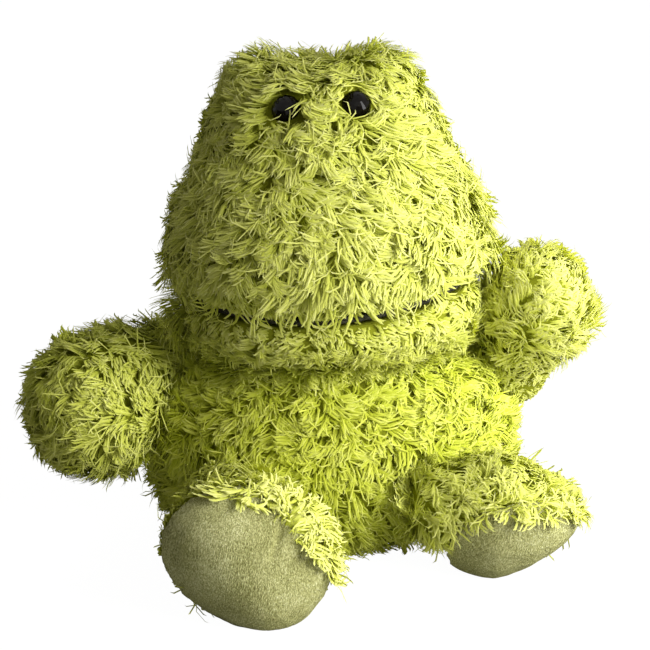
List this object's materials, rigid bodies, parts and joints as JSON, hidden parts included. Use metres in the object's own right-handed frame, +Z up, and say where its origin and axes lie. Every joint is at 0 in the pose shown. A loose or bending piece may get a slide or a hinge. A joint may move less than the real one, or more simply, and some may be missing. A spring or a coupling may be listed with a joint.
{
  "type": "plush frog",
  "caption": "Seated stuffed frog of shaggy yellow-green pile with a broad muzzle, a fat lower lip, glossy bead eyes and velour soles.",
  "frame": {"origin": "middle of the flat seat under the body, on the floor", "axes": "+Z up, -Y the way the frog faces, +X to the frog's own left"},
  "size_m": [0.2597, 0.1845, 0.225],
  "materials": {
    "pile": "long shaggy pile",
    "belly_pile": "shorter shaggy pile",
    "velour": "short napped velour",
    "felt": "matt felt",
    "stuffing": "loose polyester fibre",
    "pellet_cloth": "plain woven cloth",
    "eye_black": "polished",
    "washer_white": "moulded"
  },
  "bodies": {
    "body": {"body_cover": "belly_pile", "body_filling": "stuffing", "pellet_bag": "pellet_cloth"},
    "head": {"head_cover": "pile", "head_filling": "stuffing", "jaw_cover": "pile", "jaw_filling": "stuffing", "mouth_lining": "felt", "eye_right": "eye_black", "eye_left": "eye_black", "eye_washer_right": "washer_white", "eye_washer_left": "washer_white"},
    "arm_right": {"arm_right_cover": "pile", "arm_right_filling": "stuffing"},
    "arm_left": {"arm_left_cover": "pile", "arm_left_filling": "stuffing"},
    "leg_right": {"leg_right_cover": "pile", "leg_right_filling": "stuffing", "sole_right": "velour"},
    "leg_left": {"leg_left_cover": "pile", "leg_left_filling": "stuffing", "sole_left": "velour"}
  },
  "joints": [
    {"name": "neck_turn", "type": "hinge", "parent": "body", "child": "head", "pos_m": [0, 0, 0.09], "axis": [0, 0, 1], "range_deg": [-15, 8], "stiffness_Nm_per_rad": 0.3},
    {"name": "arm_right_raise", "type": "hinge", "parent": "body", "child": "arm_right", "pos_m": [-0.084, 0.008, 0.075], "axis": [-1, 0, 0], "range_deg": [-12, 30], "stiffness_Nm_per_rad": 0.1},
    {"name": "arm_left_raise", "type": "hinge", "parent": "body", "child": "arm_left", "pos_m": [0.084, 0.008, 0.075], "axis": [-1, 0, 0], "range_deg": [-30, 0], "stiffness_Nm_per_rad": 0.1},
    {"name": "leg_right_splay", "type": "hinge", "parent": "body", "child": "leg_right", "pos_m": [-0.05, -0.056, 0.029], "axis": [0, 0, 1], "range_deg": [-15, 15], "stiffness_Nm_per_rad": 0.1},
    {"name": "leg_left_splay", "type": "hinge", "parent": "body", "child": "leg_left", "pos_m": [0.05, -0.056, 0.029], "axis": [0, 0, 1], "range_deg": [-24, 0], "stiffness_Nm_per_rad": 0.1}
  ]
}
